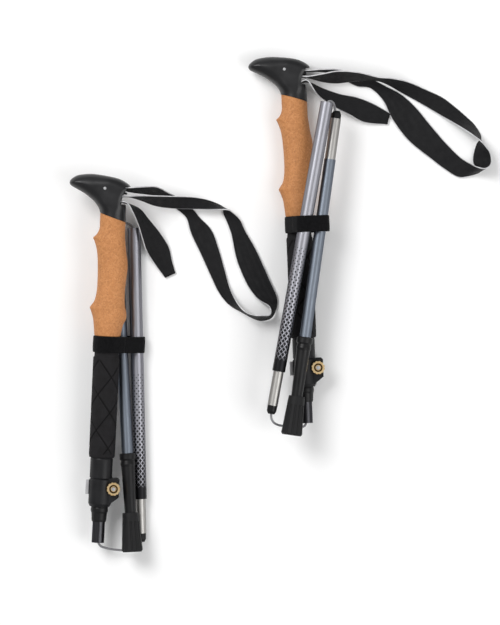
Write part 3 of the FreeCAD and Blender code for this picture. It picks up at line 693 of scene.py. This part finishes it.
def make_band_run(name, run, outline, place, material):
    """A stretch of the tie along run, which is part of outline, with soft rounded edges."""
    top, bottom = CORK_END, BAND_END
    profile = [(bottom + 0.5, 0.0), (bottom, 0.35), (bottom + 0.2, 0.8), (bottom + 1.2, BAND_T),
               (bottom + 5, BAND_T + 0.15), ((top + bottom) / 2, BAND_T + 0.2), (top - 5, BAND_T + 0.15),
               (top - 1.2, BAND_T), (top - 0.2, 0.8), (top, 0.35), (top - 0.5, 0.0),
               ((top + bottom) / 2, 0.0)]
    rings = []
    for p in run:
        n = outline.index(p)
        along = Vector(outline[(n + 1) % len(outline)]) - Vector(outline[n - 1])
        out = Vector((along.y, -along.x)).normalized()
        ring = []
        for y, lift in profile:
            rough = 0.12 * noise.noise(Vector((p[0], y, p[1])) * 0.5)
            spot = Vector(p) + out * (lift + (rough if lift > 0.5 else 0.0))
            ring.append((spot.x, y, spot.y))
        rings.append(ring)
    return mesh_object(name, *lofted(rings, False), material, "hook_loop", place)


def nurbs(name, points, radius):
    """A smooth curve with the route's points as its control points, in metres."""
    curve = bpy.data.curves.new(name, "CURVE")
    curve.dimensions = "3D"
    curve.bevel_depth = radius
    curve.bevel_resolution = 6
    curve.resolution_u = 24
    curve.use_fill_caps = True
    line = curve.splines.new("NURBS")
    line.points.add(len(points) - 1)
    for target, p in zip(line.points, points):
        target.co = (*p, 1)
    line.order_u = 3
    line.use_endpoint_u = True
    return bpy.data.objects.new(name, curve)


def make_cable(name, points, material, node):
    """A stretch of the tension cable that bends across a joint."""
    bpy.context.view_layer.update()
    line = bpy.data.meshes.new_from_object(nurbs(name + "_line", points, 0.0))
    mesh = bpy.data.meshes.new_from_object(nurbs(name + "_tube", points, CORD_R * MM))
    mesh.name = name
    mesh.polygons.foreach_set("use_smooth", [True] * len(mesh.polygons))
    mesh.materials.clear()
    mesh.materials.append(material)
    piece = bpy.data.objects.new(name, mesh)
    bpy.context.scene.collection.objects.link(piece)
    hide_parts(node)
    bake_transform(piece)


def make_cables(side, material):
    """The cable's two free stretches, each from inside one section, over in the open, into the next."""
    handle, middle, lower = (PLACES[side][name] for name in ("handle", "middle", "lower"))
    dip = Vector((0, 0, CABLE_DIP[side] * MM))

    def on(place, y):
        return place @ Vector((0, y * MM, 0))

    def down(place, run):
        return place.to_3x3() @ Vector((0, -run * MM, 0))

    low_from, low_to = on(handle, INNER_END), on(middle, MIDDLE_CAP_END)
    across = low_to - low_from
    points = [on(handle, INNER_END + 56), on(handle, INNER_END + 12), low_from + down(handle, 3),
              low_from + down(handle, 7) + across * 0.22 + dip * 0.5,
              low_from + down(handle, 9) + across * 0.52 + dip,
              low_to + down(middle, 10) - across * 0.16 + dip * 0.4, low_to + down(middle, 4),
              on(middle, MIDDLE_CAP_END + 10), on(middle, MIDDLE_END + 40)]
    make_cable(f"{side}_cable_lower", points, material, f"{side}_cord_lower_loop")
    points = [on(middle, -6), on(middle, 4), on(lower, 5), on(lower, -30)]
    make_cable(f"{side}_cable_upper", points, material, f"{side}_cord_upper_loop")


# ---- camera, light and floor ----
CAMERA_HEIGHT, FIELD = 4.0, 0.65625             # metres; the field is the picture's height on the ground
# (name, place in metres, size in metres, watts)
LIGHTS = [("key", (-1.2, 1.1, 1.9), 1.2, 42.0), ("fill", (1.5, -0.6, 1.8), 1.6, 26.0)]
SKY = [(0.0, 0.55), (0.25, 0.45), (0.7, 0.4), (1.0, 0.55)]      # brightness from the horizon to overhead
FLOOR_HALF, FLOOR_DROP = 15000, 0.1             # millimetres; the floor lies just under the part


def make_stage():
    """A camera looking straight down on the pair, two soft lights, a grey sky and a pale floor."""
    scene = bpy.context.scene
    scene.view_settings.view_transform = "Standard"
    centre = Vector((SHIFT.x, SHIFT.y, 0)) * MM
    camera = bpy.data.cameras.new("camera")
    camera.sensor_fit = "VERTICAL"
    camera.sensor_height = 24.0
    camera.lens = camera.sensor_height * CAMERA_HEIGHT / FIELD
    camera.clip_end = 60.0
    eye = bpy.data.objects.new("camera", camera)
    eye.location = centre + Vector((0, 0, CAMERA_HEIGHT))
    scene.collection.objects.link(eye)
    scene.camera = eye

    world = bpy.data.worlds.new("studio")
    scene.world = world
    world.use_nodes = True
    tree = world.node_tree
    coordinates = tree.nodes.new("ShaderNodeTexCoord")
    split = tree.nodes.new("ShaderNodeSeparateXYZ")
    ramp = tree.nodes.new("ShaderNodeValToRGB")
    tree.links.new(coordinates.outputs["Generated"], split.inputs[0])
    tree.links.new(split.outputs[2], ramp.inputs["Fac"])
    tree.links.new(ramp.outputs["Color"], tree.nodes["Background"].inputs["Color"])
    elements = ramp.color_ramp.elements
    while len(elements) < len(SKY):
        elements.new(0.5)
    for element, (position, value) in zip(elements, SKY):
        element.position = position
        element.color = (value, value, value, 1)
    tree.nodes["Background"].inputs["Strength"].default_value = 1.0

    for name, spot, size, power in LIGHTS:
        light = bpy.data.lights.new(name, "AREA")
        light.size = size
        light.energy = power
        lamp = bpy.data.objects.new(name, light)
        lamp.location = spot
        lamp.rotation_euler = (centre - Vector(spot)).to_track_quat("-Z", "Y").to_euler()
        scene.collection.objects.link(lamp)

    f = Finish("floor")
    f.set(base_color=f.ramp(f.grain(300.0), [(0.0, rgb("f2f2f2")), (1.0, rgb("f6f6f6"))]), roughness=0.9)
    h = FLOOR_HALF
    floor = mesh_object("floor", [(-h, -h, 0), (h, -h, 0), (h, h, 0), (-h, h, 0)],
                        [(0, 1, 2, 3)], f.material)
    floor.location.z = -FLOOR_DROP * MM


make_stage()
webbing, felt, cork, foam = webbing_finish(), felt_finish(), cork_finish(), foam_finish()
head_plastic = moulded("head_plastic", "0e0e10", "171719", 0.34, 0.3, 0.012, shine=0.4)
cable_coat = moulded("cable_coat", "77777a", "939396", 0.42, 0.5, 0.02)
for name, pairs in STRAPS.items():
    make_strap(name, pairs, webbing)
for side in PLACES:
    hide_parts(f"{side}_wrist_strap")
    make_head(side, head_plastic)
    make_cork(side, cork)
    make_foam(side, foam)
    make_band(side, felt)
    make_cables(side, cable_coat)

# ---- finishes of the carried-over CAD parts ----
for side, places in PLACES.items():
    handle, middle, lower = (places[name] for name in ("handle", "middle", "lower"))
    finishes = {
        ("strap_wedge", "lock_body"): moulded(f"{side}_lock_plastic", "111113", "1b1b1d", 0.45, 0.4, 0.03),
        ("lock_collar", "tip_sleeve", "middle_cap", "lower_cap"):
            moulded(f"{side}_sleeve_plastic", "0d0d0e", "161617", 0.4, 0.4, 0.02),
        ("inner_guide", ): moulded(f"{side}_guide_plastic", "d0d0ce", "e0e0de", 0.5),
        ("lock_lever", ): moulded(f"{side}_lever_plastic", "a9a9ab", "bcbcbe", 0.45, 0.4, 0.02),
        ("rubber_foot", ): moulded(f"{side}_foot_rubber", "121213", "1c1c1d", 0.6, 0.5, 0.05),
        ("cord_run", ): cable_coat,
        ("strap_pin", "lock_bolt", "cam_pin"): brushed(f"{side}_steel", "c8c8ca", "ececee", 0.22, handle),
        ("lock_nut", ): nut_finish(f"{side}_brass", handle),
        ("upper_tube", "cord_anchor"): brushed(f"{side}_upper_alloy", "8c8c92", "a8a8ae", 0.3, handle),
        ("inner_tube", ): brushed(f"{side}_inner_alloy", "343437", "4a4a4d", 0.34, handle),
        ("middle_tube", ): pattern_finish(f"{side}_pattern_alloy", middle),
        ("middle_ferrule", ): brushed(f"{side}_middle_ferrule", "9c9a98", "b0aeaa", 0.4, middle),
        ("lower_tube", ): brushed(f"{side}_blue_alloy", "666c75", "7b828c", 0.42, lower),
        ("lower_ferrule", ): brushed(f"{side}_lower_ferrule", "9c9a98", "b0aeaa", 0.4, lower),
        ("carbide_tip", ): brushed(f"{side}_carbide", "77777a", "8e8e92", 0.35, lower),
    }
    for names, material in finishes.items():
        for name in names:
            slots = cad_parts[f"{side}_{name}"].material_slots
            for slot in slots:
                slot.material = material
